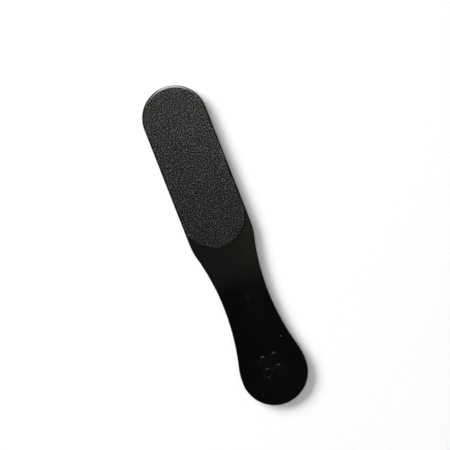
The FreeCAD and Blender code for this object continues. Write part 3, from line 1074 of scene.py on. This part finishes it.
def make_camera():
    """Looks straight down, turned as the photograph is, with the file as large and in the same place."""
    right, up = plan_axes()
    across = FRAME_CENTRE_PIXEL[0] - OBJECT_PIXEL[0]
    down = FRAME_CENTRE_PIXEL[1] - OBJECT_PIXEL[1]
    data = bpy.data.cameras.new("Camera")
    data.sensor_width = CAMERA_SENSOR
    data.lens = CAMERA_LENS
    data.clip_start, data.clip_end = CAMERA_CLIP
    camera = bpy.data.objects.new("Camera", data)
    distance = FRAME_PIXELS * PIXEL * CAMERA_LENS / CAMERA_SENSOR
    above = Vector((0, 0, FACE_Z - EDGE_ROUND + distance))
    camera.location = (right * across - up * down) * PIXEL + above
    camera.rotation_euler = (0, 0, CAMERA_ROLL)
    bpy.context.scene.collection.objects.link(camera)
    bpy.context.scene.camera = camera


def make_floor(material):
    corners = [(x * FLOOR_HALF, y * FLOOR_HALF, 0) for x, y in ((-1, -1), (1, -1), (1, 1), (-1, 1))]
    mesh = bpy.data.meshes.new("floor")
    mesh.from_pydata(corners, [], [(0, 1, 2, 3)])
    mesh.materials.append(material)
    floor = bpy.data.objects.new("floor", mesh)
    bpy.context.scene.collection.objects.link(floor)


def area_light(name, place, target, size, power, colour=WHITE):
    """A rectangular light at a place, turned to a target."""
    data = bpy.data.lights.new(name, "AREA")
    data.shape = "RECTANGLE"
    data.size, data.size_y = size
    data.energy = power
    data.color = colour
    light = bpy.data.objects.new(name, data)
    light.location = place
    light.rotation_euler = (Vector(target) - Vector(place)).to_track_quat("-Z", "Y").to_euler()
    bpy.context.scene.collection.objects.link(light)
    light.visible_camera = False
    return light


def make_lights():
    """A key from the picture's left, a soft top light, and three panels that only show in reflections."""
    right, up = plan_axes()
    side = KEY_SIDE[0] * right + KEY_SIDE[1] * up

    def soft_box(name, elevation, size, power):
        place = (side * math.cos(elevation) + Vector((0, 0, math.sin(elevation)))) * LIGHT_DISTANCE
        area_light(name, place, (0, 0, 0), size, power).visible_glossy = False

    def panel(name, place, target, size, power, tint):
        area_light(name, place, target, size, power, tint).visible_diffuse = False

    soft_box("key", KEY_ELEVATION, KEY_SIZE, KEY_POWER)
    soft_box("top_light", TOP_ELEVATION, TOP_SIZE, TOP_POWER)
    tip = (0, BODY_HIGH.y, FACE_Z)
    panel("tip_panel", TIP_PANEL_PLACE, tip, TIP_PANEL_SIZE, TIP_PANEL_POWER, WHITE)
    below = (*NECK_CARD_PLACE[:2], FACE_Z)
    panel("neck_card", NECK_CARD_PLACE, below, NECK_CARD_SIZE, NECK_CARD_POWER, NECK_CARD_TINT)
    below = (*WARM_CARD_PLACE[:2], FACE_Z)
    panel("warm_card", WARM_CARD_PLACE, below, WARM_CARD_SIZE, WARM_CARD_POWER, WARM_CARD_TINT)


def make_world():
    """White all round to the camera, an even fill for matt surfaces, and a dim room in the reflections."""
    world = bpy.data.worlds.new("studio")
    world.use_nodes = True
    tree = world.node_tree
    where = add(tree, "ShaderNodeTexCoord").outputs["Generated"]
    height = add(tree, "ShaderNodeSeparateXYZ", {0: where}).outputs["Z"]
    rays = add(tree, "ShaderNodeLightPath").outputs
    room = ramp(tree, height, ROOM_STOPS)
    sky = mix(tree, rays["Is Glossy Ray"], FILL_TONE, room)
    sky = mix(tree, rays["Is Camera Ray"], sky, BACKGROUND_TONE)
    tree.links.new(sky, tree.nodes["Background"].inputs["Color"])
    bpy.context.scene.world = world
    bpy.context.scene.view_settings.view_transform = "Standard"


make_camera()
make_floor(floor_material())
make_lights()
make_world()

make_body(plastic_material())
paper = paper_material()
make_backing("coarse_backing_sheet", "front_backing", paper, COARSE_PAPER_SEED, FRONT_CHIPS_AND_HIGHLIGHTS)
make_backing("fine_backing_sheet", "rear_backing", paper, FINE_PAPER_SEED, REAR_CHIPS)
coarse = grit_material("coarse_grit", **COARSE_TONES)
fine = grit_material("fine_grit", **FINE_TONES)
make_coat("coarse_abrasive_coat", "front_grit", "coarse_grit", coarse, **COARSE_COAT)
make_coat("fine_abrasive_coat", "rear_grit", "fine_grit", fine, **FINE_COAT)
film = adhesive_material()
for node in ("front_adhesive", "rear_adhesive"):
    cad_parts[node].data.materials[0] = film
